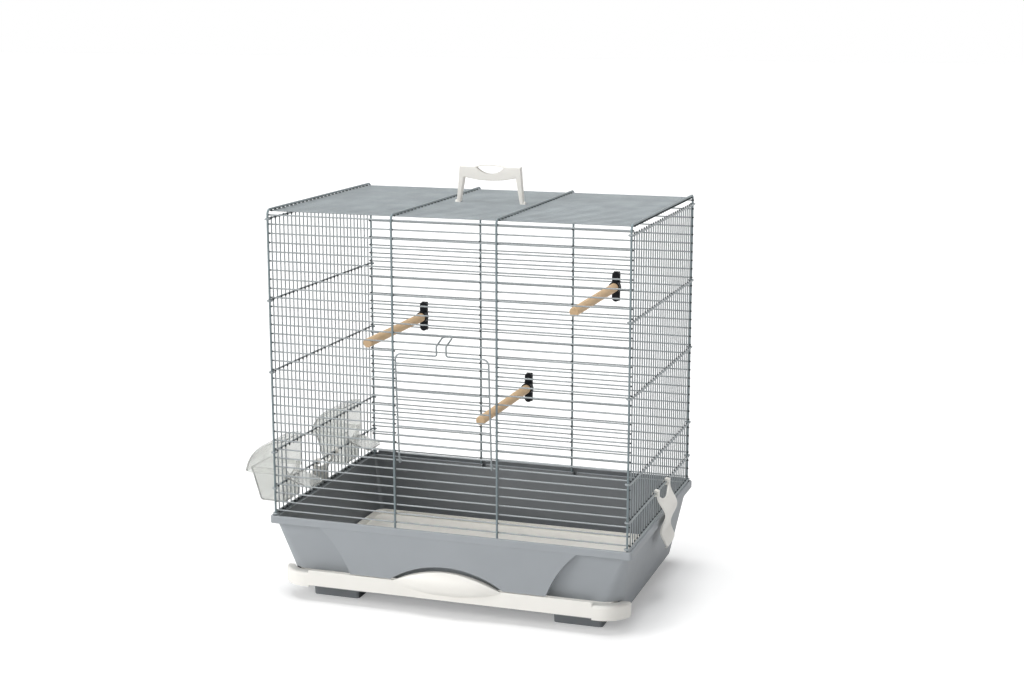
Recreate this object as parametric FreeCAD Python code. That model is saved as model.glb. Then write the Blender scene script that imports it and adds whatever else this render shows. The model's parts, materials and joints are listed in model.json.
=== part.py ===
import FreeCAD, Part
import math
import os
from FreeCAD import Vector

# Wire bird cage on a moulded base with a drawer. Millimetres, +Z up, front towards -Y, +X to the
# right seen from the front. The origin is on the ground, under the middle of the whole outline.

# Wire cage
cage_width = 500.0  # between the centres of the left and right frame wires
cage_depth = 348.0  # between the centres of their front and back runs
door_bay = 145.0  # between the two middle frame wires
wire_pitch = 12.4  # between cross wires, up the front and the back
front_wire_count = 34
side_gap_count = 28  # gaps between uprights along a side panel
frame_wire_d = 3.0
cross_wire_d = 2.0
upright_wire_d = 1.8
rail_wire_d = 2.6
frame_bend_radius = 7.0
last_wire_rise = 9.8  # lowest cross wire above the ledge that the cage stands on
bend_margin = 0.2  # straight wire left between a bend and the nearest cross wire
weld_gap = 0.02  # between wires that are welded where they cross
upright_foot_gap = 1.0  # between the uprights' lower ends and the ledge
upright_over = 2.5  # how far the uprights pass the top rail
rail_curl_deg = 200.0
rail_pitch_shares = (0.45, 9.35, 17.3, 26.35, 30.45, 33.35)  # rail places in pitches below the first wire
feeder_rail_index = 4  # the rail that the feeders and the clips hang on
feeder_top_rail_index = 3

# Door
hook_wire_index = 13  # the cross wire that the latch hooks over, counted from the top
hinge_wire_index = 26  # the cross wire that the door turns on
door_width = 130.0  # between the centres of its side wires
door_wire_d = 2.2
door_lean_deg = 4.0  # outwards, as the latch holds it
door_bend_radius = 8.0
hinge_clearance = 0.1  # radial, in every eye and curl that turns on a wire
hinge_curl_deg = 250.0
hook_width = 13.4
hook_bend_radius = 3.0
hook_neck = 13.2  # from the door's top wire to where the hook bends back
hook_rise = 19.7  # from the top wire to the hook's tip
hook_reach = 26.0  # from the door's plane to the hook's tip
hook_tip_radius = 5.0

# Base tub
base_height = 120.0
skirt_height = 15.0  # the wall's lower edge above the ground
floor_top = 29.5
base_wall = 3.0
rim_height = 11.0
rim_round = 1.5
rim_corner_radius = 4.0
lip_height = 3.0
lip_width = 3.0
back_lip_rise = 3.0  # the back lip above the rest of the rim
rim_margin_side = 7.0  # rim outside the side frame wires' centres
rim_margin_front = 5.0
rim_overhang = 6.5  # rim outside the wall's top
skirt_inset = 24.5  # rim outside the wall's lower edge
wall_top_radius = 7.5
wall_front_radius = 34.0  # of the lower corners
wall_back_radius = 12.0
panel_foot_rise = 17.0  # raised panel above the floor
slot_height = 13.0  # drawer slot above the floor
foot_side_inset = 47.5  # from the rim's side
foot_end_inset = 36.0  # from the rim's front
rear_foot_side_inset = 37.5
rear_foot_end_inset = 29.0
foot_width = 68.0
foot_depth = 40.0
foot_draft = 0.5
foot_corner_radius = 5.0
socket_width = 6.0
socket_drop = 5.0  # its foot below the ledge
socket_reach = 5.5  # from the inside of the wall
socket_offset = 5.5  # from the middle back wires
socket_top_gap = 1.5  # below the back lip's top
panel_top_x = 184.0  # raised front panel
panel_mid_x = 162.0
panel_foot_x = 140.0
panel_mid_z = 87.0
panel_top_margin = 0.5  # panel behind the rim's face
panel_lean = 4.5
arch_half_width = 83.0
arch_rise = 24.5

# Drawer
drawer_clearance = 0.3
tray_side_gap = 0.6  # between the tray's top edge and the slot's side
tray_draft = 3.0
tray_wall = 2.0
tray_floor = 2.5
tray_height = 10.2
tray_back_gap = 12.4  # between the tray and the tub's back wall at the floor
tray_back_radius = 15.0
tray_front_radius = 45.0
band_side_inset = 7.0  # from the rim's side
band_front_inset = 5.0  # from the rim's front
band_corner_radius = 40.0
band_wrap = 31.0  # how far the band goes back round the corners
band_foot_z = 23.5
band_gap = 1.5  # under the raised panel and the tub's wall
band_wall = 3.0
band_round = 0.8
band_lip_gap = 1.2  # between the band's lip and the wall it goes round
band_notch_inset = 54.0  # its high middle part stops this far from the rim's side
band_corner_drop = 2.5  # its lower edge at the corners, below the rest
band_corner_round = 4.0
grip_half_width = 79.0
grip_rise = 19.0
grip_tip_drop = 2.0  # the grip's pointed ends below the band's top
grip_foot_drop = 13.0  # its lower edge below the band's top
grip_bulge = 11.0
grip_crown = 8.0  # how much less it bulges at its top and lower edge

# Carry handle
handle_wire_index = 15  # the top wire that it turns on, counted from the front
handle_depth = 8.0
handle_top_half = 44.8
handle_foot_half = 48.7
handle_leg = 5.0
handle_foot_out = 2.3  # foot eyes beyond the legs
handle_shoulder_rise = 50.7
handle_dip_half = 24.0
handle_dip_rise = 49.9
handle_peak_rise = 54.0
handle_band_half = 37.5
handle_band_end_rise = 35.3
handle_band_rise = 31.0
window_half = 20.2
window_end_rise = 49.2
window_top_rise = 51.5
window_foot_rise = 40.4
handle_bevel = 1.0
handle_eye_d = 6.6
handle_eye_length = 6.6

# Clips that hold the wire top on the base
clip_hook_pitch_share = 2.5  # hooks from the clip's middle, in side panel pitches
clip_hook_width = 8.4
clip_hook_wall = 3.0
clip_slit = 2.3
clip_slit_deg = 135.0
clip_thickness = 2.4
clip_start_out = 3.3  # the profile, outwards from the rail's centre and down from it
clip_shoulder_out = 5.8
clip_shoulder_drop = 13.0
clip_bulge_out = 14.3
clip_bulge_drop = 29.5
clip_pinch_out = 6.7
clip_pinch_drop = 58.4
clip_flare_out = 13.0
clip_flare_drop = 74.4
clip_flare_half = 25.0
clip_tip_out = 7.5
clip_tip_drop = 87.4
clip_neck_drop = 6.0
clip_throat_drop = 14.0
clip_tip_half = 1.0

# Perches
perch_d = 13.0
perch_free_y = 51.0  # in front of the middle
perch_seat = 8.0
perch_chamfer = 1.0
perch_fit = 0.05
holder_width = 11.5
holder_height = 44.5
holder_thickness = 5.0
holder_wire_gap = 0.2
holder_boss_d = 17.0
holder_boss_length = 10.0
holder_hook_width = 9.0
holder_hook_half = 3.0
holder_hook_depth = 3.4
holder_hook_fit = 0.05
holder_hook_pitch_share = 1.5  # hooks above and below the holder's middle, in wire pitches
left_perch_x = -162.0
left_perch_pitch_share = 15.5  # below the first wire, in wire pitches
right_perch_x = 140.0
right_perch_pitch_share = 10.5
low_perch_x = 6.0
low_perch_pitch_share = 23.5

# Feeders on the left panel
front_feeder_bars = (3, 7)  # the uprights on each side of its opening, counted from the front
rear_feeder_bars = (20, 24)
feeder_gap = 0.3
feeder_wall = 2.0
cup_foot_half = 24.0
cup_top_half = 29.0
cup_foot_drop = 31.5
cup_foot_radius = 6.0
cup_top_rise = 17.0
cup_foot_out = 38.8
cup_top_out = 50.2
notch_radius = 17.0
notch_rise = 21.0
ledge_side_gap = 1.0
ledge_reach = 36.0
ledge_drop = 8.0
ledge_flat = 4.0
ledge_corner_radius = 6.0
hood_cheek_wall = 2.0
hood_back_rise = 57.0
hood_mid_out = 40.0
hood_mid_rise = 43.0
hood_tip_out = 57.5
hood_tip_rise = 11.0
hood_cheek_foot_rise = 9.0
hood_cheek_foot_out = 49.0

overrun = 2.0  # every cutting body passes its faces by this

# Places worked out from the sizes above
frame_r = frame_wire_d / 2
cross_r = cross_wire_d / 2
upright_r = upright_wire_d / 2
rail_r = rail_wire_d / 2
door_r = door_wire_d / 2
half_width = cage_width / 2
half_depth = cage_depth / 2
half_bay = door_bay / 2
side_pitch = cage_depth / side_gap_count
ledge_z = base_height - lip_height
first_wire_z = ledge_z + last_wire_rise + (front_wire_count - 1) * wire_pitch
crown_z = first_wire_z + frame_bend_radius + bend_margin
cross_y = half_depth - frame_r - cross_r - weld_gap
top_wire_z = crown_z - frame_r - cross_r - weld_gap
rail_curl_radius = frame_r + rail_r + weld_gap
rail_x = half_width + rail_curl_radius
upright_x = rail_x - rail_r - upright_r - weld_gap
clip_rail_z = first_wire_z - rail_pitch_shares[feeder_rail_index] * wire_pitch
feeder_top_z = first_wire_z - rail_pitch_shares[feeder_top_rail_index] * wire_pitch
rim_z = base_height - rim_height
rim_half_x = half_width + rim_margin_side
rim_half_y = half_depth + rim_margin_front
slot_top = floor_top + slot_height
panel_foot_z = floor_top + panel_foot_rise
tray_foot_z = floor_top + drawer_clearance
band_half_width = rim_half_x - band_side_inset
band_front_y = rim_half_y - band_front_inset
band_end_y = band_front_y - band_wrap
band_top_z = panel_foot_z - band_gap
band_corner_top = slot_top - band_gap
band_corner_foot = band_foot_z - band_corner_drop
notch_x = rim_half_x - band_notch_inset


def wire_z(row):
    """Height of a front or back cross wire, counted from the top."""
    return first_wire_z - row * wire_pitch


def side_y(bar):
    """Place of a side upright or top wire, counted from the front."""
    return bar * side_pitch - half_depth


def along_wall(z, top, skirt):
    """A value of the tub's wall at a height, from its values at the rim and the lower edge."""
    return top + (skirt - top) * (rim_z - z) / (rim_z - skirt_height)


def wall_inset(z):
    """How far the tub's wall is inside the rim at a height."""
    return along_wall(z, rim_overhang, skirt_inset)


def rod(start, end, diameter):
    """A straight wire between two points."""
    run = end - start
    return Part.makeCylinder(diameter / 2, run.Length, start, run)


def tube_along(edges, start, direction, diameter):
    """A round wire swept along joined edges."""
    section = Part.Wire(Part.makeCircle(diameter / 2, start, direction))
    sweep = Part.BRepOffsetAPI.MakePipeShell(Part.Wire(edges))
    sweep.add(section)
    sweep.build()
    sweep.makeSolid()
    return sweep.shape()


def bent_edges(points, radii):
    """Straight runs through the points, with a tangent arc of the given radius at each inner one."""
    edges = []
    start = points[0]
    for before, corner, after, radius in zip(points, points[1:], points[2:], radii):
        arrive = (corner - before).normalize()
        leave = (after - corner).normalize()
        turn = arrive.getAngle(leave)
        setback = radius * math.tan(turn / 2)
        bisector = (leave - arrive).normalize()
        centre = corner + bisector * (radius / math.cos(turn / 2))
        first = corner - arrive * setback
        last = corner + leave * setback
        edges.append(Part.LineSegment(start, first).toShape())
        edges.append(Part.Arc(first, centre - bisector * radius, last).toShape())
        start = last
    edges.append(Part.LineSegment(start, points[-1]).toShape())
    return edges


def round_rect(half_x, y_low, y_high, radius_low, radius_high, z):
    """Closed outline of a rectangle with round corners, at a height."""
    corners = (
        (half_x, y_low, radius_low, -90.0),
        (half_x, y_high, radius_high, 0.0),
        (-half_x, y_high, radius_high, 90.0),
        (-half_x, y_low, radius_low, 180.0),
    )
    arcs = []
    for x, y, radius, begin in corners:
        centre = Vector(x - math.copysign(radius, x), y - math.copysign(radius, y), z)
        spots = [math.radians(begin + step) for step in (0.0, 45.0, 90.0)]
        around = [centre + Vector(math.cos(a), math.sin(a), 0) * radius for a in spots]
        arcs.append(around)
    edges = []
    for here, following in zip(arcs, arcs[1:] + arcs[:1]):
        edges.append(Part.Arc(*here).toShape())
        edges.append(Part.LineSegment(here[2], following[0]).toShape())
    return Part.Wire(edges)


def loft(*outlines):
    return Part.makeLoft(list(outlines), True, True)


def prism(outline, direction):
    """A closed outline pushed along a direction."""
    return Part.Face(outline).extrude(direction)


def polygon(points):
    return Part.makePolygon(list(points) + [points[0]])


def spline(points):
    curve = Part.BSplineCurve()
    curve.interpolate(list(points))
    return curve.toShape()


def line(start, end):
    return Part.LineSegment(start, end).toShape()


def block(x, y, z):
    """A box between pairs of limits."""
    low = Vector(x[0], y[0], z[0])
    return Part.makeBox(x[1] - x[0], y[1] - y[0], z[1] - z[0], low)


def mirror_x(shape):
    return shape.mirror(Vector(0, 0, 0), Vector(1, 0, 0))


# Base tub


def tub_outline(z, inset):
    """Plan of the tub's wall at a height, or inside it by an inset."""
    half_x = rim_half_x - wall_inset(z) - inset
    half_y = rim_half_y - wall_inset(z) - inset
    front = along_wall(z, wall_top_radius, wall_front_radius) - inset
    back = along_wall(z, wall_top_radius, wall_back_radius) - inset
    return round_rect(half_x, -half_y, half_y, front, back, z)


def tub_body(low, high, inset):
    """The space inside the tub's wall, or further in by an inset, between two heights."""
    return loft(tub_outline(low, inset), tub_outline(high, inset))


def rim_prism(inset, low, high):
    half_y = rim_half_y - inset
    radius = rim_corner_radius - inset
    outline = round_rect(rim_half_x - inset, -half_y, half_y, radius, radius, low)
    return prism(outline, Vector(0, 0, high - low))


def make_rim():
    rim = rim_prism(0, rim_z, base_height)
    flat = [e for e in rim.Edges if e.BoundBox.ZLength < weld_gap]
    return rim.makeFillet(rim_round, flat)


def front_panel():
    """Raised front panel with hollow sides, cut out below in an arch over the drawer's grip."""
    top = rim_z + rim_round
    face_y = rim_half_y - panel_top_margin
    right_top = Vector(panel_top_x, 0, top)
    right_foot = Vector(panel_foot_x, 0, panel_foot_z)
    left_top = Vector(-panel_top_x, 0, top)
    left_foot = Vector(-panel_foot_x, 0, panel_foot_z)
    outline = Part.Wire([
        Part.Arc(right_top, Vector(panel_mid_x, 0, panel_mid_z), right_foot).toShape(),
        line(right_foot, left_foot),
        Part.Arc(left_foot, Vector(-panel_mid_x, 0, panel_mid_z), left_top).toShape(),
        line(left_top, right_top),
    ])
    slab = prism(outline, Vector(0, -rim_half_y, 0))
    back_y = rim_half_y - wall_inset(panel_foot_z) - base_wall / 2
    profile = polygon([
        Vector(-rim_half_x, -back_y, panel_foot_z - overrun),
        Vector(-rim_half_x, panel_lean - face_y, panel_foot_z - overrun),
        Vector(-rim_half_x, -face_y, top),
        Vector(-rim_half_x, -back_y, top),
    ])
    panel = slab.common(prism(profile, Vector(2 * rim_half_x, 0, 0)))
    arch_z = panel_foot_z - overrun
    arch = Part.Wire([
        Part.Arc(
            Vector(-arch_half_width, -rim_half_y, arch_z),
            Vector(0, -rim_half_y, panel_foot_z + arch_rise),
            Vector(arch_half_width, -rim_half_y, arch_z),
        ).toShape(),
        line(Vector(arch_half_width, -rim_half_y, arch_z), Vector(-arch_half_width, -rim_half_y, arch_z)),
    ])
    return panel.cut(prism(arch, Vector(0, rim_half_y, 0)))


def foot(side, end):
    """One foot under the floor; side and end are the signs of its X and Y."""
    rear = end > 0
    outer_x = rim_half_x - (rear_foot_side_inset if rear else foot_side_inset)
    outer_y = rim_half_y - (rear_foot_end_inset if rear else foot_end_inset)
    top_z = floor_top - base_wall / 2

    def ring(grow, z):
        x = [side * (outer_x - foot_width - grow), side * (outer_x + grow)]
        y = [end * (outer_y - foot_depth - grow), end * (outer_y + grow)]
        return polygon([
            Vector(x[0], y[0], z), Vector(x[1], y[0], z), Vector(x[1], y[1], z), Vector(x[0], y[1], z),
        ])

    block_foot = loft(ring(0, 0), ring(foot_draft, top_z))
    upright = [e for e in block_foot.Edges if e.BoundBox.ZLength > top_z / 2]
    return block_foot.makeFillet(foot_corner_radius, upright)


def back_lip():
    """The rim's lip along the back, which stands higher than the rest."""
    half = half_width - rail_curl_radius - rail_wire_d
    top = base_height + back_lip_rise
    lip = block((-half, half), (rim_half_y - lip_width, rim_half_y), (ledge_z - lip_height, top))
    upper = [e for e in lip.Edges if e.BoundBox.ZMin > top - weld_gap]
    return lip.makeFillet(rim_round / 2, upper)


def wire_socket(side):
    """Small square notch in the ledge and the back lip, beside a middle back wire."""
    x = side * half_bay + socket_offset
    inner_y = rim_half_y - wall_inset(ledge_z) - base_wall
    return block(
        (x - socket_width / 2, x + socket_width / 2),
        (inner_y - overrun, inner_y + socket_reach),
        (ledge_z - socket_drop, base_height + back_lip_rise - socket_top_gap),
    )


def make_base_tub():
    wall = tub_body(skirt_height, rim_z + rim_round, 0)
    tub = wall.fuse([make_rim(), front_panel()])
    inside = tub_body(floor_top, ledge_z + overrun, base_wall)
    under = tub_body(skirt_height - overrun, floor_top - base_wall, base_wall)
    ledge = rim_prism(lip_width, ledge_z, base_height + overrun)
    slot_half = tray_half_top() + tray_side_gap
    slot = block((-slot_half, slot_half), (-rim_half_y - overrun, -rim_half_y / 2), (floor_top, slot_top))
    tub = tub.cut([inside, under, ledge, slot]).fuse(back_lip()).cut([wire_socket(1), wire_socket(-1)])
    feet = [foot(side, end) for side in (1, -1) for end in (1, -1)]
    return tub.fuse(feet).removeSplitter()


# Drawer


def tray_half_top():
    """Half width of the tray's top edge, just inside the tub's walls at the floor."""
    return rim_half_x - wall_inset(floor_top) - base_wall - tray_side_gap - drawer_clearance


def tray_outline(inset, z):
    half_x = tray_half_top() - inset - tray_draft * (tray_foot_z + tray_height - z) / tray_height
    front = -band_front_y + band_wall / 2
    back = rim_half_y - wall_inset(floor_top) - base_wall - tray_back_gap - inset
    return round_rect(half_x, front, back, tray_front_radius - inset, tray_back_radius - inset, z)


def make_tray():
    top = tray_foot_z + tray_height
    floor_z = tray_foot_z + tray_floor
    outer = loft(tray_outline(0, tray_foot_z), tray_outline(0, top))
    inner = loft(tray_outline(tray_wall, floor_z), tray_outline(tray_wall, top + overrun))
    front = block(
        (-band_half_width, band_half_width),
        (-band_front_y, -band_front_y + band_wall + tray_wall),
        (floor_z, top + 2 * overrun),
    )
    return outer.cut(inner.cut(front))


def band_prism(inset, low, high):
    half_x = band_half_width - inset
    front = -band_front_y + inset
    radius = band_corner_radius - inset
    outline = round_rect(half_x, front, band_front_y, radius, radius, low)
    return prism(outline, Vector(0, 0, high - low))


def rounded_band(low, high, radius):
    """The band's full plan between two heights, with its upper edge rounded."""
    body = band_prism(0, low, high)
    return body.makeFillet(radius, [e for e in body.Edges if e.BoundBox.ZMin > high - weld_gap])


def make_band():
    """Upright front band; round both corners it is lower and has a lip that reaches back to the tub."""
    reach = (-band_front_y - overrun, band_front_y + overrun)
    tall = (band_corner_foot - overrun, band_top_z + overrun)
    middle = block((-notch_x, notch_x), (reach[0], 0), tall)
    sides = [block(x, reach, tall) for x in ((notch_x, rim_half_x), (-rim_half_x, -notch_x))]
    high = rounded_band(band_foot_z, band_top_z, band_round).common(middle)
    high = high.cut(band_prism(band_wall, *tall))
    low = rounded_band(band_corner_foot, band_corner_top, band_corner_round)
    hollow = band_prism(band_wall, band_corner_foot - overrun, band_corner_top - band_wall)
    tub_gap = tub_body(tall[0], tall[1], -band_lip_gap)
    behind = block((-rim_half_x, rim_half_x), (-band_end_y, reach[1]), tall)
    low = low.cut([hollow, tub_gap, behind])
    return high.fuse([low.common(side) for side in sides])


def make_grip():
    """Pointed oval pull on the band, bulging forwards."""
    back_y = band_wall - band_front_y
    tip_z = band_top_z - grip_tip_drop
    top_z = band_top_z + grip_rise
    foot_z = band_top_z - grip_foot_drop
    left = Vector(-grip_half_width, back_y, tip_z)
    right = Vector(grip_half_width, back_y, tip_z)
    outline = Part.Wire([
        Part.Arc(left, Vector(0, back_y, top_z), right).toShape(),
        Part.Arc(right, Vector(0, back_y, foot_z), left).toShape(),
    ])
    slab = prism(outline, Vector(0, -band_wall - grip_bulge, 0))
    bulge_radius = (grip_half_width ** 2 + grip_bulge ** 2) / (2 * grip_bulge)
    axis = Vector(0, bulge_radius - band_front_y - grip_bulge, 0)

    def at(radius, z):
        return axis + Vector(radius, 0, z)

    edge = bulge_radius - grip_crown
    profile = Part.Wire([
        line(at(0, foot_z), at(edge, foot_z)),
        Part.Arc(at(edge, foot_z), at(bulge_radius, (foot_z + top_z) / 2), at(edge, top_z)).toShape(),
        line(at(edge, top_z), at(0, top_z)),
        line(at(0, top_z), at(0, foot_z)),
    ])
    barrel = Part.Face(profile).revolve(axis, Vector(0, 0, 1))
    return slab.common(barrel)


def make_drawer():
    return make_tray().fuse([make_band(), make_grip()]).removeSplitter()


# Wire cage


def make_frame_wire(x):
    """One thick wire: up the front, over the top and down the back."""
    points = [
        Vector(x, -half_depth, ledge_z),
        Vector(x, -half_depth, crown_z),
        Vector(x, half_depth, crown_z),
        Vector(x, half_depth, ledge_z),
    ]
    edges = bent_edges(points, [frame_bend_radius] * 2)
    return tube_along(edges, points[0], Vector(0, 0, 1), frame_wire_d)


def cross_wire(y, z, x_low, x_high):
    return rod(Vector(x_low, y, z), Vector(x_high, y, z), cross_wire_d)


def make_front_wires():
    """Front cross wires; the rows of the door stop at the middle frame wires."""
    end = half_width + frame_r
    stop = half_bay - frame_r
    wires = []
    for row in range(front_wire_count):
        if hook_wire_index < row < hinge_wire_index:
            wires.append(cross_wire(-cross_y, wire_z(row), -end, -stop))
            wires.append(cross_wire(-cross_y, wire_z(row), stop, end))
        else:
            wires.append(cross_wire(-cross_y, wire_z(row), -end, end))
    return Part.makeCompound(wires)


def make_back_wires():
    end = half_width + frame_r
    return Part.makeCompound([cross_wire(cross_y, wire_z(row), -end, end) for row in range(front_wire_count)])


def make_top_wires():
    end = half_width + frame_r
    places = [side_y(bar) for bar in range(1, side_gap_count)]
    return Part.makeCompound([cross_wire(y, top_wire_z, -end, end) for y in places])


def make_rails(side):
    """Side panel rails, each with its ends curled round the corner wires."""
    rails = []
    turns = [math.radians(rail_curl_deg * share) for share in (0.0, 0.5, 1.0)]
    for share in rail_pitch_shares:
        z = first_wire_z - share * wire_pitch
        arcs = []
        for end in (-1, 1):
            spots = [
                Vector(
                    side * (half_width + rail_curl_radius * math.cos(turn)),
                    end * (half_depth + rail_curl_radius * math.sin(turn)),
                    z,
                )
                for turn in turns
            ]
            arcs.append(spots)
        front, back = arcs
        edges = [
            Part.Arc(*reversed(front)).toShape(),
            line(front[0], back[0]),
            Part.Arc(*back).toShape(),
        ]
        lead = Vector(side * math.sin(turns[2]), math.cos(turns[2]), 0)
        rails.append(tube_along(edges, front[2], lead, rail_wire_d))
    return Part.makeCompound(rails)


def make_uprights(side, openings):
    """Side panel uprights; those that cross an opening stop at the rails above and below it."""
    x = side * upright_x
    low = ledge_z + upright_foot_gap
    high = first_wire_z - rail_pitch_shares[0] * wire_pitch + upright_over
    wires = []
    for bar in range(1, side_gap_count):
        y = side_y(bar)
        spans = [(low, high)]
        if any(first < bar < last for first, last in openings):
            spans = [(low, clip_rail_z + rail_r), (feeder_top_z - rail_r, high)]
        wires += [rod(Vector(x, y, a), Vector(x, y, b), upright_wire_d) for a, b in spans]
    return Part.makeCompound(wires)


# Door


def door_point(x, up, out):
    """A point of the closed door: across, up its plane from the hinge, and out of its plane."""
    lean = math.radians(door_lean_deg)
    y = -cross_y - out * math.cos(lean) - up * math.sin(lean)
    z = wire_z(hinge_wire_index) + up * math.cos(lean) - out * math.sin(lean)
    return Vector(x, y, z)


door_curl_radius = cross_r + door_r + hinge_clearance
door_height = (hinge_wire_index - hook_wire_index - 1) * wire_pitch


def curl_points(x):
    """Three points round the hinge wire, from the door's side wire to the curl's free end."""
    turns = [math.radians(hinge_curl_deg * share) for share in (0.0, 0.5, 1.0)]
    return [door_point(x, -door_curl_radius * math.sin(t), door_curl_radius * math.cos(t)) for t in turns]


def make_door_frame():
    """One bent wire: hinge curl, side, top with the latch hook in its middle, side, hinge curl."""
    half = door_width / 2
    hook = hook_width / 2
    out = door_curl_radius
    neck = door_height + hook_neck
    tip_up = door_height + hook_rise
    tip = out - hook_reach
    left = curl_points(-half)
    right = curl_points(half)
    points = [left[0]] + [
        door_point(x, up, depth)
        for x, up, depth in (
            (-half, door_height, out),
            (-hook, door_height, out),
            (-hook, neck, out),
            (-hook, tip_up, tip),
            (hook, tip_up, tip),
            (hook, neck, out),
            (hook, door_height, out),
            (half, door_height, out),
        )
    ] + [right[0]]
    side_radii = [door_bend_radius, hook_bend_radius, hook_bend_radius, hook_tip_radius]
    radii = side_radii + side_radii[::-1]
    edges = [Part.Arc(*reversed(left)).toShape()] + bent_edges(points, radii) + [Part.Arc(*right).toShape()]
    free_end = math.radians(hinge_curl_deg)
    lead = door_point(-half, math.cos(free_end), math.sin(free_end)) - door_point(-half, 0, 0)
    return tube_along(edges, left[2], lead, door_wire_d)


def make_door_wires():
    out = door_curl_radius + door_r + cross_r + weld_gap
    end = door_width / 2 + door_r
    rows = hinge_wire_index - hook_wire_index - 1
    return Part.makeCompound([
        rod(door_point(-end, row * wire_pitch, out), door_point(end, row * wire_pitch, out), cross_wire_d)
        for row in range(1, rows)
    ])


# Carry handle


def make_handle():
    y = side_y(handle_wire_index)

    def at(x, rise):
        return Vector(x, y - handle_depth / 2, top_wire_z + rise)

    inner_foot = handle_foot_half - handle_leg
    outline = Part.Wire([
        line(at(-handle_foot_half, 0), at(-handle_top_half, handle_shoulder_rise)),
        line(at(-handle_top_half, handle_shoulder_rise), at(-handle_dip_half, handle_dip_rise)),
        Part.Arc(
            at(-handle_dip_half, handle_dip_rise),
            at(0, handle_peak_rise),
            at(handle_dip_half, handle_dip_rise),
        ).toShape(),
        line(at(handle_dip_half, handle_dip_rise), at(handle_top_half, handle_shoulder_rise)),
        line(at(handle_top_half, handle_shoulder_rise), at(handle_foot_half, 0)),
        line(at(handle_foot_half, 0), at(inner_foot, 0)),
        line(at(inner_foot, 0), at(handle_band_half, handle_band_end_rise)),
        Part.Arc(
            at(handle_band_half, handle_band_end_rise),
            at(0, handle_band_rise),
            at(-handle_band_half, handle_band_end_rise),
        ).toShape(),
        line(at(-handle_band_half, handle_band_end_rise), at(-inner_foot, 0)),
        line(at(-inner_foot, 0), at(-handle_foot_half, 0)),
    ])
    ends = at(-window_half, window_end_rise), at(window_half, window_end_rise)
    window = Part.Wire([
        Part.Arc(ends[0], at(0, window_top_rise), ends[1]).toShape(),
        Part.Arc(ends[1], at(0, window_foot_rise), ends[0]).toShape(),
    ])
    through = Vector(0, handle_depth, 0)
    body = prism(outline, through)
    body = body.makeChamfer(handle_bevel, [e for e in body.Edges if e.BoundBox.YLength < weld_gap])
    body = body.cut(prism(window, through))
    eye_x = handle_foot_half + handle_foot_out - handle_eye_length
    axle = Vector(0, y, top_wire_z)
    eyes = [
        Part.makeCylinder(handle_eye_d / 2, handle_eye_length, axle + Vector(x, 0, 0), Vector(1, 0, 0))
        for x in (eye_x, -eye_x - handle_eye_length)
    ]
    bore = rod(
        axle - Vector(half_width, 0, 0), axle + Vector(half_width, 0, 0), cross_wire_d + 2 * hinge_clearance
    )
    return body.fuse(eyes).cut(bore).removeSplitter()


# Clips


def make_right_clip():
    """Springy clip: two hooks round the rail, a bulge over the rim, a pinch under it and a pointed tab."""
    profile = (
        (clip_start_out, clip_hook_wall),
        (clip_shoulder_out, -clip_shoulder_drop),
        (clip_bulge_out, -clip_bulge_drop),
        (clip_pinch_out, -clip_pinch_drop),
        (clip_flare_out, -clip_flare_drop),
        (clip_tip_out, -clip_tip_drop),
    )

    def at(out, up, y):
        return Vector(rail_x + out, y, clip_rail_z + up)

    hook_y = clip_hook_pitch_share * side_pitch
    edge = hook_y + clip_hook_width / 2
    neck = hook_y - clip_hook_width / 2
    half = clip_thickness / 2
    wide = edge + overrun
    outer = [at(out + half, up, -wide) for out, up in profile]
    inner = [at(out - half, up, -wide) for out, up in profile]
    section = Part.Wire([spline(outer), line(outer[-1], inner[-1]), spline(inner), line(inner[0], outer[0])])
    sheet = prism(section, Vector(0, 2 * wide, 0))
    top = clip_hook_wall + overrun
    right = [
        at(0, -clip_tip_drop, clip_tip_half),
        at(0, -clip_flare_drop, clip_flare_half),
        at(0, -clip_neck_drop, edge),
        at(0, top, edge),
        at(0, top, neck),
        at(0, -clip_neck_drop, neck),
    ]
    left = [Vector(p.x, -p.y, p.z) for p in reversed(right)]
    throat = Part.Arc(right[-1], at(0, -clip_throat_drop, 0), left[0]).toShape()
    sides = [line(a, b) for points in (right, left) for a, b in zip(points, points[1:])]
    turn = len(right) - 1
    face = Part.Wire(sides[:turn] + [throat] + sides[turn:] + [line(left[-1], right[0])])
    body = sheet.common(prism(face, Vector(clip_bulge_out + clip_thickness + overrun, 0, 0)))
    bore_r = rail_r + hinge_clearance
    hook_r = bore_r + clip_hook_wall
    hooks = []
    cuts = []
    for y in (hook_y, -hook_y):
        start = at(0, 0, y - clip_hook_width / 2)
        hooks.append(Part.makeCylinder(hook_r, clip_hook_width, start, Vector(0, 1, 0)))
        cuts.append(Part.makeCylinder(bore_r, clip_hook_width, start, Vector(0, 1, 0)))
        slit = Part.makeBox(hook_r + overrun, clip_hook_width, clip_slit, start - Vector(0, 0, clip_slit / 2))
        slit.rotate(at(0, 0, 0), Vector(0, 1, 0), clip_slit_deg)
        cuts.append(slit)
    return body.fuse(hooks).cut(cuts).removeSplitter()


# Perches


def make_perch(axis):
    """Round wooden perch, seated in its holder's boss."""
    seat_y = holder_front_y() - holder_boss_length + perch_seat
    dowel = rod(axis - Vector(0, perch_free_y, 0), axis + Vector(0, seat_y, 0), perch_d)
    ends = [e for e in dowel.Edges if e.BoundBox.YLength < weld_gap]
    return dowel.makeChamfer(perch_chamfer, ends)


def holder_front_y():
    return cross_y - cross_r - holder_wire_gap - holder_thickness


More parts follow.
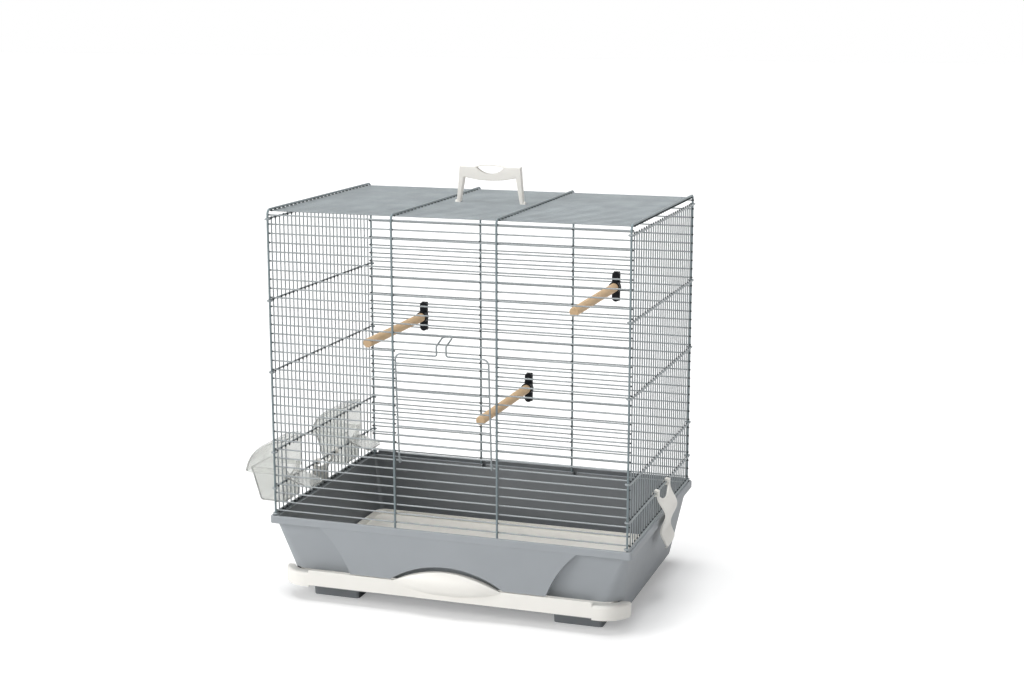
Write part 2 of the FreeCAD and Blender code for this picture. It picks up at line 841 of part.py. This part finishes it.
def make_holder(axis):
    """Black oblong holder with a boss for the perch and two hooks on the back wires."""
    front = holder_front_y()
    rise = holder_height / 2 - holder_width / 2
    half = holder_width / 2
    spots = ((-half, -rise), (half, -rise), (half, rise), (-half, rise))
    face = [axis + Vector(x, front, z) for x, z in spots]
    outline = Part.Wire([
        Part.Arc(face[0], axis + Vector(0, front, -rise - half), face[1]).toShape(),
        line(face[1], face[2]),
        Part.Arc(face[2], axis + Vector(0, front, rise + half), face[3]).toShape(),
        line(face[3], face[0]),
    ])
    plate = prism(outline, Vector(0, holder_thickness, 0))
    boss = rod(axis + Vector(0, front - holder_boss_length, 0), axis + Vector(0, front, 0), holder_boss_d)
    seat = rod(
        axis + Vector(0, front - holder_boss_length, 0),
        axis + Vector(0, front - holder_boss_length + perch_seat + perch_fit, 0),
        perch_d + 2 * perch_fit,
    )
    hooks = []
    grooves = []
    back = front + holder_thickness
    for sign in (1, -1):
        z = axis.z + sign * holder_hook_pitch_share * wire_pitch
        x = (axis.x - holder_hook_width / 2, axis.x + holder_hook_width / 2)
        y = (back - holder_wire_gap, back + holder_hook_depth)
        hooks.append(block(x, y, (z - holder_hook_half, z + holder_hook_half)))
        groove_r = cross_r + holder_hook_fit
        ends = [Vector(axis.x + side * half_width, cross_y, z) for side in (-1, 1)]
        grooves.append(rod(ends[0], ends[1], 2 * groove_r))
        mouth = (z - holder_hook_half - overrun, z)
        grooves.append(block(x, (cross_y - groove_r, cross_y + groove_r), mouth))
    return plate.fuse([boss] + hooks).cut([seat] + grooves).removeSplitter()


# Feeders


def feeder_middle(bars):
    return (side_y(bars[0]) + side_y(bars[1])) / 2


def feeder_point(out, y, rise):
    """A point of a feeder: outwards from the left rail, along the panel and above that rail."""
    return Vector(-rail_x - out, y, clip_rail_z + rise)


def feeder_box(y, half, out_low, out_high, rise):
    spots = ((out_low, -half), (out_high, -half), (out_high, half), (out_low, half))
    return polygon([feeder_point(out, y + side, rise) for out, side in spots])


def round_foot(solid, radius):
    """Round a cup's lower front edge."""
    box = solid.BoundBox
    front = [
        e for e in solid.Edges
        if e.BoundBox.ZMax < box.ZMin + weld_gap and e.BoundBox.XLength < weld_gap
    ]
    front.sort(key=lambda e: e.BoundBox.XMin)
    return solid.makeFillet(radius, front[:1])


def ledge_plan(y, half):
    """Plan of the landing ledge, round at its two inner corners, as a tall prism."""
    rise = -cup_foot_drop
    bend = ledge_reach - ledge_corner_radius * (1 - math.sqrt(0.5))
    square = half - ledge_corner_radius
    side = half - ledge_corner_radius * (1 - math.sqrt(0.5))
    out = cup_foot_out
    start = feeder_point(out, y - half, rise)
    right = [
        feeder_point(ledge_corner_radius - ledge_reach, y - half, rise),
        feeder_point(-bend, y - side, rise),
        feeder_point(-ledge_reach, y - square, rise),
    ]
    left = [Vector(p.x, 2 * y - p.y, p.z) for p in reversed(right)]
    end = feeder_point(out, y + half, rise)
    plan = Part.Wire([
        line(start, right[0]),
        Part.Arc(*right).toShape(),
        line(right[2], left[0]),
        Part.Arc(*left).toShape(),
        line(left[2], end),
        line(end, start),
    ])
    return prism(plan, Vector(0, 0, cup_foot_drop + cup_top_rise))


def make_feeder_cup(bars):
    """Tapered clear cup outside the panel, with a landing ledge that hooks over the rail."""
    y = feeder_middle(bars)
    back = rail_r + feeder_gap
    outer = loft(
        feeder_box(y, cup_foot_half, back, cup_foot_out, -cup_foot_drop),
        feeder_box(y, cup_top_half, back, cup_top_out, cup_top_rise),
    )
    outer = round_foot(outer, cup_foot_radius)
    slope_y = (cup_top_half - cup_foot_half) / (cup_foot_drop + cup_top_rise)
    slope_x = (cup_top_out - cup_foot_out) / (cup_foot_drop + cup_top_rise)
    low = feeder_wall - cup_foot_drop
    high = cup_top_rise + overrun
    rings = []
    for rise in (low, high):
        grow = rise + cup_foot_drop
        half = cup_foot_half + slope_y * grow - feeder_wall
        front = cup_foot_out + slope_x * grow - feeder_wall
        rings.append(feeder_box(y, half, back + feeder_wall, front, rise))
    cup = outer.cut(round_foot(loft(*rings), cup_foot_radius - feeder_wall))
    through = back + feeder_wall + overrun
    notch_start = feeder_point(back + feeder_wall + overrun / 2, y, notch_rise)
    notch = Part.makeCylinder(notch_radius, through, notch_start, Vector(1, 0, 0))
    half = feeder_middle(bars) - side_y(bars[0]) - upright_r - ledge_side_gap
    under = rail_r + feeder_gap
    section = polygon([
        feeder_point(out, y - half, rise)
        for out, rise in (
            (back + feeder_wall / 2, under),
            (-ledge_flat, under),
            (-ledge_reach, -ledge_drop - feeder_wall / 2),
            (-ledge_reach, -ledge_drop + feeder_wall / 2),
            (-ledge_flat, under + feeder_wall),
            (back + feeder_wall / 2, under + feeder_wall),
        )
    ])
    shelf = prism(section, Vector(0, 2 * half, 0))
    shelf = shelf.common(ledge_plan(y, half))
    return cup.fuse(shelf).cut(notch).removeSplitter()


def make_feeder_hood(bars):
    """Clear arched hood over the cup, with a cheek on each side."""
    y = feeder_middle(bars)
    back = rail_r + feeder_gap
    cheek_low = cup_top_half + weld_gap
    half = cheek_low + hood_cheek_wall
    spots = ((back, hood_back_rise), (hood_mid_out, hood_mid_rise), (hood_tip_out, hood_tip_rise))
    outer = [feeder_point(out, y - half, rise) for out, rise in spots]
    sweep = Part.Arc(*outer).toShape()
    centre = sweep.Curve.Center
    shrink = (sweep.Curve.Radius - feeder_wall) / sweep.Curve.Radius
    inner = [centre + (p - centre) * shrink for p in outer]
    inner[0] = Vector(outer[0].x, inner[0].y, inner[0].z)
    underside = Part.Arc(*reversed(inner)).toShape()
    roof = prism(
        Part.Wire([sweep, line(outer[2], inner[2]), underside, line(inner[0], outer[0])]),
        Vector(0, 2 * half, 0),
    )
    corner = feeder_point(hood_cheek_foot_out, y - half, hood_cheek_foot_rise)
    heel = feeder_point(back, y - half, hood_cheek_foot_rise)
    cheek = prism(
        Part.Wire([sweep, line(outer[2], corner), line(corner, heel), line(heel, outer[0])]),
        Vector(0, hood_cheek_wall, 0),
    )
    other = cheek.translated(Vector(0, 2 * half - hood_cheek_wall, 0))
    return roof.fuse([cheek, other]).removeSplitter()


# The whole cage, and the ground point under the middle of its outline

shapes = {
    "base_tub": make_base_tub(),
    "drawer": make_drawer(),
    "frame_wire_left": make_frame_wire(-half_width),
    "frame_wire_mid_left": make_frame_wire(-half_bay),
    "frame_wire_mid_right": make_frame_wire(half_bay),
    "frame_wire_right": make_frame_wire(half_width),
    "front_wires": make_front_wires(),
    "top_wires": make_top_wires(),
    "back_wires": make_back_wires(),
    "left_panel_uprights": make_uprights(-1, (front_feeder_bars, rear_feeder_bars)),
    "left_panel_rails": make_rails(-1),
    "right_panel_uprights": make_uprights(1, ()),
    "right_panel_rails": make_rails(1),
    "door_frame": make_door_frame(),
    "door_wires": make_door_wires(),
    "carry_handle": make_handle(),
}
clip = make_right_clip()
shapes["right_clip"] = clip
shapes["left_clip"] = mirror_x(clip)
perches = (
    ("left_perch", left_perch_x, left_perch_pitch_share),
    ("right_perch", right_perch_x, right_perch_pitch_share),
    ("low_perch", low_perch_x, low_perch_pitch_share),
)
for name, x, pitch_share in perches:
    axis = Vector(x, 0, wire_z(pitch_share))
    shapes[name] = make_perch(axis)
    shapes[name + "_holder"] = make_holder(axis)
for name, bars in (("front_feeder", front_feeder_bars), ("rear_feeder", rear_feeder_bars)):
    shapes[name + "_cup"] = make_feeder_cup(bars)
    shapes[name + "_hood"] = make_feeder_hood(bars)

outline = Part.makeCompound(list(shapes.values())).optimalBoundingBox(False, False)
origin = Vector((outline.XMin + outline.XMax) / 2, (outline.YMin + outline.YMax) / 2, 0)

os.makedirs("parts", exist_ok=True)
for name, shape in shapes.items():
    shape.translated(-origin).exportStep(os.path.join("parts", name + ".step"))
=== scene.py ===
import json
import math

import bmesh
import bpy
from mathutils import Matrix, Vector


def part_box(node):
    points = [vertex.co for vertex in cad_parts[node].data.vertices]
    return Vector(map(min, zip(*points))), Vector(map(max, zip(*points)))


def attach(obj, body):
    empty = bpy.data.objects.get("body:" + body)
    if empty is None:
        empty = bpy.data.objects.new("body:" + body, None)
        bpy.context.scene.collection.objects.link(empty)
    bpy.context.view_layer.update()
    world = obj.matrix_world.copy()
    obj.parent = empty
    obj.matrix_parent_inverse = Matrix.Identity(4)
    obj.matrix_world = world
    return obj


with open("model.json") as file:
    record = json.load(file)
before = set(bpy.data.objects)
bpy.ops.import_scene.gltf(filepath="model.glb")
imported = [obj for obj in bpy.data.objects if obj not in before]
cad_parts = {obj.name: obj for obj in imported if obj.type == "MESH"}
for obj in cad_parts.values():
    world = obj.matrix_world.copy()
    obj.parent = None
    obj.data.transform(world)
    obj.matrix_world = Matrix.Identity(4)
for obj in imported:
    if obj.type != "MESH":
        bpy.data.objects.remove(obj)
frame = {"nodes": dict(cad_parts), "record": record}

# Dressed bird cage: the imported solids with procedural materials, weld spots, studio and camera. Metres.

scene = bpy.context.scene
nodes = frame["nodes"]
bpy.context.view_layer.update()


def middle(node):
    """Middle of a node's box."""
    low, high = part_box(node)
    return (low + high) / 2


tub_middle = middle("base_tub")

# Camera, placed from the middle of the base

camera_offset = Vector((0.773245, -2.209345, 0.819421))
camera_azimuth_deg = 18.467
camera_tilt_deg = 11.417
camera_focal_px = 1701.5
photo_width_px = 1024
sensor_width_mm = 36.0
level_view_deg = 90.0  # a camera turned up by this looks along the ground


def make_camera():
    data = bpy.data.cameras.new("camera")
    data.sensor_width = sensor_width_mm
    data.lens = camera_focal_px * sensor_width_mm / photo_width_px
    camera = bpy.data.objects.new("camera", data)
    scene.collection.objects.link(camera)
    camera.location = Vector((tub_middle.x, tub_middle.y, 0)) + camera_offset
    camera.rotation_euler = (
        math.radians(level_view_deg - camera_tilt_deg), 0, math.radians(camera_azimuth_deg)
    )
    scene.camera = camera


# Materials

ramp_start = 0.3  # the part of a noise over which a colour changes
ramp_end = 0.7


class Material:
    """A node material with short calls for the nodes that this scene uses."""

    def __init__(self, name):
        self.material = bpy.data.materials.new(name)
        self.material.use_nodes = True
        self.tree = self.material.node_tree
        self.shader = self.tree.nodes["Principled BSDF"]
        self.coords = self.tree.nodes.new("ShaderNodeTexCoord")

    def node(self, kind, **values):
        made = self.tree.nodes.new(kind)
        for key, value in values.items():
            if key in made.inputs:
                made.inputs[key].default_value = value
            else:
                setattr(made, key, value)
        return made

    def link(self, source, target):
        self.tree.links.new(source, target)

    def stretched(self, scale=(1, 1, 1)):
        """Object coordinates scaled along each axis."""
        mapping = self.node("ShaderNodeMapping", Scale=scale)
        self.link(self.coords.outputs["Object"], mapping.inputs["Vector"])
        return mapping.outputs["Vector"]

    def noise(self, vector, scale, detail=3.0, roughness=0.5):
        made = self.node("ShaderNodeTexNoise", Scale=scale, Detail=detail, Roughness=roughness)
        self.link(vector, made.inputs["Vector"])
        return made.outputs["Fac"]

    def ramp(self, factor, first, last, start=ramp_start, end=ramp_end):
        """A colour that goes from first to last while the factor goes from start to end."""
        made = self.node("ShaderNodeValToRGB")
        for element, place, colour in zip(made.color_ramp.elements, (start, end), (first, last)):
            element.position = place
            element.color = (*colour, 1.0)
        self.link(factor, made.inputs["Fac"])
        return made.outputs["Color"]

    def spread(self, factor, low, high, start=0.0, end=1.0):
        """A number that goes from low to high while the factor goes from start to end."""
        made = self.node("ShaderNodeMapRange")
        for key, value in (("From Min", start), ("From Max", end), ("To Min", low), ("To Max", high)):
            made.inputs[key].default_value = value
        self.link(factor, made.inputs["Value"])
        return made.outputs["Result"]

    def bump(self, height, strength, distance):
        made = self.node("ShaderNodeBump", Strength=strength, Distance=distance)
        self.link(height, made.inputs["Height"])
        self.link(made.outputs["Normal"], self.shader.inputs["Normal"])

    def set(self, **values):
        for key, value in values.items():
            self.shader.inputs[key.replace("_", " ")].default_value = value

    def colour(self, socket):
        self.link(socket, self.shader.inputs["Base Color"])

    def roughness(self, socket):
        self.link(socket, self.shader.inputs["Roughness"])


def shade(colour, factor):
    return tuple(channel * factor for channel in colour)


plastic_cloud_scale = 14.0
plastic_gloss_scale = 60.0
plastic_gloss_spread = 0.06
plastic_grain_detail = 2.0
plastic_grain_depth = 0.0004


def moulded_plastic(
    name, colour, variation, roughness, grain_scale, grain_strength, specular=0.5, paint_shade=None
):
    """Moulded plastic: cloudy colour, fine spark-eroded grain and uneven gloss. An optional last argument
    paints shade into the colour.
    """
    made = Material(name)
    even = made.stretched()
    cloud = made.noise(even, plastic_cloud_scale)
    tint = made.ramp(cloud, shade(colour, 1 - variation), shade(colour, 1 + variation))
    # painted shade, where the last argument gives it
    made.colour(paint_shade(made, tint) if paint_shade else tint)
    made.set(Specular_IOR_Level=specular)
    gloss = made.noise(even, plastic_gloss_scale)
    made.roughness(made.spread(gloss, roughness - plastic_gloss_spread, roughness + plastic_gloss_spread))
    grain = made.noise(even, grain_scale, detail=plastic_grain_detail)
    made.bump(grain, grain_strength, plastic_grain_depth)
    return made


inside_shade_share = 0.44  # painted shade: colour left on the walls inside the tub, standing in for the shade inside it
foot_shade_share = 0.65  # painted shade: colour left on its feet, standing in for the shade under the drawer
inside_shade_full = -0.08  # offset from the tub's middle, along the surface's normal, where the painted shade inside the tub is full
inside_shade_none = -0.02  # and where it ends
# heights over which the painted shade on the feet fades out
foot_shade_full_height = 0.010
foot_shade_none_height = 0.016


def painted_tub_shade(made, colour):
    """The colour with painted shade: darker where the tub's surface faces its own middle, for the shade
    inside the tub, and darker on the feet, for the shade under the drawer.
    """
    away = made.node("ShaderNodeVectorMath", operation="SUBTRACT")
    made.link(made.coords.outputs["Object"], away.inputs[0])
    away.inputs[1].default_value = tub_middle
    facing = made.node("ShaderNodeVectorMath", operation="DOT_PRODUCT")
    made.link(away.outputs["Vector"], facing.inputs[0])
    made.link(made.coords.outputs["Normal"], facing.inputs[1])
    painted_wall_shade = made.spread(facing.outputs["Value"], inside_shade_share, 1.0, inside_shade_full, inside_shade_none)
    height = made.node("ShaderNodeSeparateXYZ")
    made.link(made.coords.outputs["Object"], height.inputs["Vector"])
    painted_foot_shade = made.spread(height.outputs["Z"], foot_shade_share, 1.0, foot_shade_full_height, foot_shade_none_height)
    both = made.node("ShaderNodeMath", operation="MULTIPLY")
    made.link(painted_wall_shade, both.inputs[0])
    made.link(painted_foot_shade, both.inputs[1])
    scaled = made.node("ShaderNodeVectorMath", operation="SCALE")
    made.link(colour, scaled.inputs["Vector"])
    made.link(both.outputs["Value"], scaled.inputs["Scale"])
    return scaled.outputs["Vector"]


wire_cloud_scale = 25.0
wire_variation = 0.1
wire_gloss_scale = 400.0
wire_gloss_spread = 0.08
wire_grain_scale = 900.0
wire_grain_detail = 2.0
wire_grain_strength = 0.15
wire_grain_depth = 0.0002


def coated_wire(name, colour, metallic, roughness):
    """Zinc-grey coat on wire: slight colour changes, spotty gloss and a fine grain."""
    made = Material(name)
    even = made.stretched()
    cloud = made.noise(even, wire_cloud_scale)
    made.colour(made.ramp(cloud, shade(colour, 1 - wire_variation), shade(colour, 1 + wire_variation)))
    gloss = made.noise(even, wire_gloss_scale)
    made.roughness(made.spread(gloss, roughness - wire_gloss_spread, roughness + wire_gloss_spread))
    made.set(Metallic=metallic)
    grain = made.noise(even, wire_grain_scale, detail=wire_grain_detail)
    made.bump(grain, wire_grain_strength, wire_grain_depth)
    return made


wood_stretch = (1.0, 0.06, 1.0)  # the grain runs along Y
wood_grain_scale = 420.0
wood_grain_detail = 6.0
wood_grain_roughness = 0.65
wood_band_scale = 90.0
wood_ramp_start = 0.38
wood_ramp_end = 0.62
wood_roughness_low = 0.5
wood_roughness_high = 0.7
wood_grain_strength = 0.25
wood_grain_depth = 0.0003


def turned_wood(name, light, dark):
    """Wood with fine grain over broad bands."""
    made = Material(name)
    along = made.stretched(wood_stretch)
    grain = made.noise(along, wood_grain_scale, detail=wood_grain_detail, roughness=wood_grain_roughness)
    bands = made.noise(along, wood_band_scale)
    mixed = made.node("ShaderNodeMath", operation="ADD")
    made.link(grain, mixed.inputs[0])
    made.link(bands, mixed.inputs[1])
    half = made.spread(mixed.outputs["Value"], 0.0, 0.5)
    made.colour(made.ramp(half, dark, light, wood_ramp_start, wood_ramp_end))
    made.roughness(made.spread(grain, wood_roughness_low, wood_roughness_high))
    made.bump(grain, wood_grain_strength, wood_grain_depth)
    return made


clear_cloud_scale = 30.0
clear_cloud_share = 0.97
clear_gloss_scale = 120.0
clear_gloss_spread = 0.05
clear_transmission = 0.86
clear_ior = 1.3
clear_grain_scale = 200.0
clear_grain_strength = 0.05
clear_grain_depth = 0.0003


def clear_plastic(name, colour, roughness):
    """Slightly cloudy clear plastic."""
    made = Material(name)
    even = made.stretched()
    cloud = made.noise(even, clear_cloud_scale)
    made.colour(made.ramp(cloud, shade(colour, clear_cloud_share), colour))
    gloss = made.noise(even, clear_gloss_scale)
    made.roughness(made.spread(gloss, roughness - clear_gloss_spread, roughness + clear_gloss_spread))
    made.set(Transmission_Weight=clear_transmission, IOR=clear_ior)
    made.bump(made.noise(even, clear_grain_scale), clear_grain_strength, clear_grain_depth)
    return made


materials = {
    # the tub's colour carries painted shade inside the tub and on its feet
    "tub_grey": moulded_plastic(
        "tub_grey",
        (0.335, 0.358, 0.379),
        variation=0.03,
        roughness=0.46,
        grain_scale=1800.0,
        grain_strength=0.12,
        paint_shade=painted_tub_shade,
    ),
    "cream": moulded_plastic(
        "cream",
        (0.900, 0.882, 0.832),
        variation=0.02,
        roughness=0.40,
        grain_scale=1200.0,
        grain_strength=0.06,
    ),
    "black": moulded_plastic(
        "black",
        (0.006, 0.007, 0.009),
        variation=0.10,
        roughness=0.42,
        grain_scale=900.0,
        grain_strength=0.10,
        specular=0.15,
    ),
    # the frame wires have the cross wires' coat; their darker colour is painted shade
    "frame_wire": coated_wire("frame_wire", (0.200, 0.245, 0.260), metallic=0.30, roughness=0.34),
    "cross_wire": coated_wire("cross_wire", (0.300, 0.325, 0.335), metallic=0.30, roughness=0.34),
    "panel_wire": coated_wire("panel_wire", (0.285, 0.315, 0.328), metallic=0.25, roughness=0.38),
    # near-black partly as burnt weld, partly as painted contact shade at the wire crossings
    "weld_and_contact_shade": coated_wire("weld_and_contact_shade", (0.030, 0.036, 0.040), metallic=0.2, roughness=0.55),
    "dowel": turned_wood("dowel", light=(0.800, 0.570, 0.350), dark=(0.620, 0.420, 0.230)),
    "clear": clear_plastic("clear", (0.930, 0.938, 0.918), roughness=0.16),
}
frame_wire_names = ("frame_wire_left", "frame_wire_mid_left", "frame_wire_mid_right", "frame_wire_right")
cross_wire_names = ("front_wires", "back_wires", "door_wires")


def wire_kind(name):
    if name in frame_wire_names:
        return "frame_wire"
    return "cross_wire" if name in cross_wire_names else "panel_wire"


def dress_nodes():
    """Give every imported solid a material: the wires by their kind, the rest by their slot."""
    slots = {entry["node"]: entry["material_slot"] for entry in frame["record"]["subparts"]}
    for name, obj in nodes.items():
        kind = wire_kind(name) if slots[name] == "wire" else slots[name]
        obj.data.materials.clear()
        obj.data.materials.append(materials[kind].material)


# Weld spots: a bead round the thinner wire at every crossing, near-black partly as burnt weld and partly
# as painted contact shade where the wires meet

front_wire_count = 34
top_wire_count = 27
rail_pitch_shares = (0.45, 9.35, 17.3, 26.35, 30.45, 33.35)  # rails below the first front wire, in pitches
bead_half_length = 0.0030
bead_wall = 0.0003  # bead outside the thinner wire
bead_subdivisions = 2
along_x = 0
along_z = 2


def spread_places(low, high, radius, count):
    """Centres of evenly spaced wires that fill a range of a box."""
    first = low + radius
    step = (high - low - 2 * radius) / (count - 1)
    return [first + step * index for index in range(count)]


def bead_mesh(name, beads):
    """One mesh of round-ended beads, each from its centre, the axis of its wire and the wire's radius."""
    ball = bmesh.new()
    bmesh.ops.create_icosphere(ball, subdivisions=bead_subdivisions, radius=1.0)
    spots = [vertex.co.copy() for vertex in ball.verts]
    sides = [[vertex.index for vertex in face.verts] for face in ball.faces]
    ball.free()
    points = []
    faces = []
    for centre, axis, wire_radius in beads:
        half = Vector([wire_radius + bead_wall] * 3)
        half[axis] = bead_half_length
        faces += [[corner + len(points) for corner in side] for side in sides]
        points += [centre + spot * half for spot in spots]
    data = bpy.data.meshes.new(name)
    data.from_pydata(points, [], faces)
    data.shade_smooth()
    data.materials.append(materials["weld_and_contact_shade"].material)
    obj = bpy.data.objects.new(name, data)
    scene.collection.objects.link(obj)
    return obj


def row_beads(node, frame_x):
    """Beads where the rows of the front or the back cross the frame wires."""
    low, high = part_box(node)
    radius = (high.y - low.y) / 2
    rows = spread_places(low.z, high.z, radius, front_wire_count)
    return [(Vector((x, middle(node).y, z)), along_x, radius) for z in rows for x in frame_x]


def top_bars():
    """The radius of the top's cross wires, and their places along Y."""
    low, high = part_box("top_wires")
    radius = (high.z - low.z) / 2
    return radius, spread_places(low.y, high.y, radius, top_wire_count)


def top_beads(frame_x):
    radius, bars = top_bars()
    height = middle("top_wires").z
    return [(Vector((x, y, height)), along_x, radius) for y in bars for x in frame_x]


def rail_heights():
    low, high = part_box("front_wires")
    radius = (high.y - low.y) / 2
    pitch = (high.z - low.z - 2 * radius) / (front_wire_count - 1)
    return [high.z - radius - share * pitch for share in rail_pitch_shares]


def side_beads(node):
    """Beads where a side panel's uprights, in line with the top's bars, cross its rails."""
    low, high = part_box(node)
    radius = (high.x - low.x) / 2
    bars = top_bars()[1]
    return [(Vector((middle(node).x, y, z)), along_z, radius) for y in bars for z in rail_heights()]


def make_welds():
    frame_x = [middle(name).x for name in frame_wire_names]
    beads = row_beads("front_wires", frame_x) + row_beads("back_wires", frame_x)
    beads += top_beads(frame_x)
    beads += side_beads("left_panel_uprights") + side_beads("right_panel_uprights")
    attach(bead_mesh("weld_spots", beads), "cage")


# Studio

white = (1.0, 1.0, 1.0, 1.0)
suns = (  # each with the way towards it, its width in degrees and its strength
    ("overhead", (-0.10, 0.05, 1.0), 40.0, 2.35),
    ("key", (-0.80, -0.50, 0.34), 30.0, 1.65),
    ("front_fill", (-0.25, -0.90, 0.42), 50.0, 0.25),
    ("right_fill", (0.90, -0.30, 0.30), 50.0, 0.50),
)
lamp_place = Vector((-0.50, -1.40, 0.40))
lamp_target = Vector((0.0, -0.17, 0.15))
lamp_size = 0.7
lamp_power = 2.4
world_light = 0.08
world_shown = 1.0  # white to the eye, in reflections and through clear plastic
floor_size = 40.0
floor_colour = (0.8, 0.8, 0.8, 1)
floor_shown_colour = (0.9, 0.9, 0.9, 1)
floor_lift = 0.27  # added to the floor that the eye sees, up to the white of the background


def add_light(name, kind, strength, towards):
    data = bpy.data.lights.new(name, kind)
    data.energy = strength
    light = bpy.data.objects.new(name, data)
    light.rotation_euler = towards.to_track_quat("Z", "Y").to_euler()
    scene.collection.objects.link(light)
    return light


def make_lights():
    for name, towards, width_deg, strength in suns:
        sun = add_light(name, "SUN", strength, Vector(towards))
        sun.data.angle = math.radians(width_deg)
    lamp = add_light("front_lamp", "AREA", lamp_power, lamp_place - lamp_target)
    lamp.data.size = lamp_size
    lamp.location = lamp_place


def make_world():
    """White where it is seen, mirrored or shines through; a faint light elsewhere."""
    world = bpy.data.worlds.new("studio")
    scene.world = world
    world.use_nodes = True
    tree = world.node_tree
    tree.nodes.clear()
    path = tree.nodes.new("ShaderNodeLightPath")
    shown = path.outputs["Is Camera Ray"]
    for ray in ("Is Glossy Ray", "Is Transmission Ray"):
        either = tree.nodes.new("ShaderNodeMath")
        either.operation = "MAXIMUM"
        tree.links.new(shown, either.inputs[0])
        tree.links.new(path.outputs[ray], either.inputs[1])
        shown = either.outputs["Value"]
    level = tree.nodes.new("ShaderNodeMapRange")
    level.inputs["To Min"].default_value = world_light
    level.inputs["To Max"].default_value = world_shown
    tree.links.new(shown, level.inputs["Value"])
    light = tree.nodes.new("ShaderNodeBackground")
    light.inputs["Color"].default_value = white
    tree.links.new(level.outputs["Result"], light.inputs["Strength"])
    output = tree.nodes.new("ShaderNodeOutputWorld")
    tree.links.new(light.outputs["Background"], output.inputs["Surface"])


def make_floor():
    """Pale floor that keeps the shadow; to the eye it is lifted to the white of the background."""
    bpy.ops.mesh.primitive_plane_add(size=floor_size, location=(0, 0, 0))
    floor = bpy.context.object
    floor.name = "floor"
    material = bpy.data.materials.new("floor")
    material.use_nodes = True
    tree = material.node_tree
    tree.nodes.clear()
    path = tree.nodes.new("ShaderNodeLightPath")
    plain = tree.nodes.new("ShaderNodeBsdfDiffuse")
    plain.inputs["Color"].default_value = floor_colour
    soft = tree.nodes.new("ShaderNodeBsdfDiffuse")
    soft.inputs["Color"].default_value = floor_shown_colour
    lift = tree.nodes.new("ShaderNodeEmission")
    lift.inputs["Strength"].default_value = floor_lift
    both = tree.nodes.new("ShaderNodeAddShader")
    tree.links.new(soft.outputs["BSDF"], both.inputs[0])
    tree.links.new(lift.outputs["Emission"], both.inputs[1])
    mix = tree.nodes.new("ShaderNodeMixShader")
    tree.links.new(path.outputs["Is Camera Ray"], mix.inputs["Fac"])
    tree.links.new(plain.outputs["BSDF"], mix.inputs[1])
    tree.links.new(both.outputs["Shader"], mix.inputs[2])
    output = tree.nodes.new("ShaderNodeOutputMaterial")
    tree.links.new(mix.outputs["Shader"], output.inputs["Surface"])
    floor.data.materials.append(material)


scene.view_settings.view_transform = "Standard"
make_camera()
dress_nodes()
make_welds()
make_world()
make_floor()
make_lights()
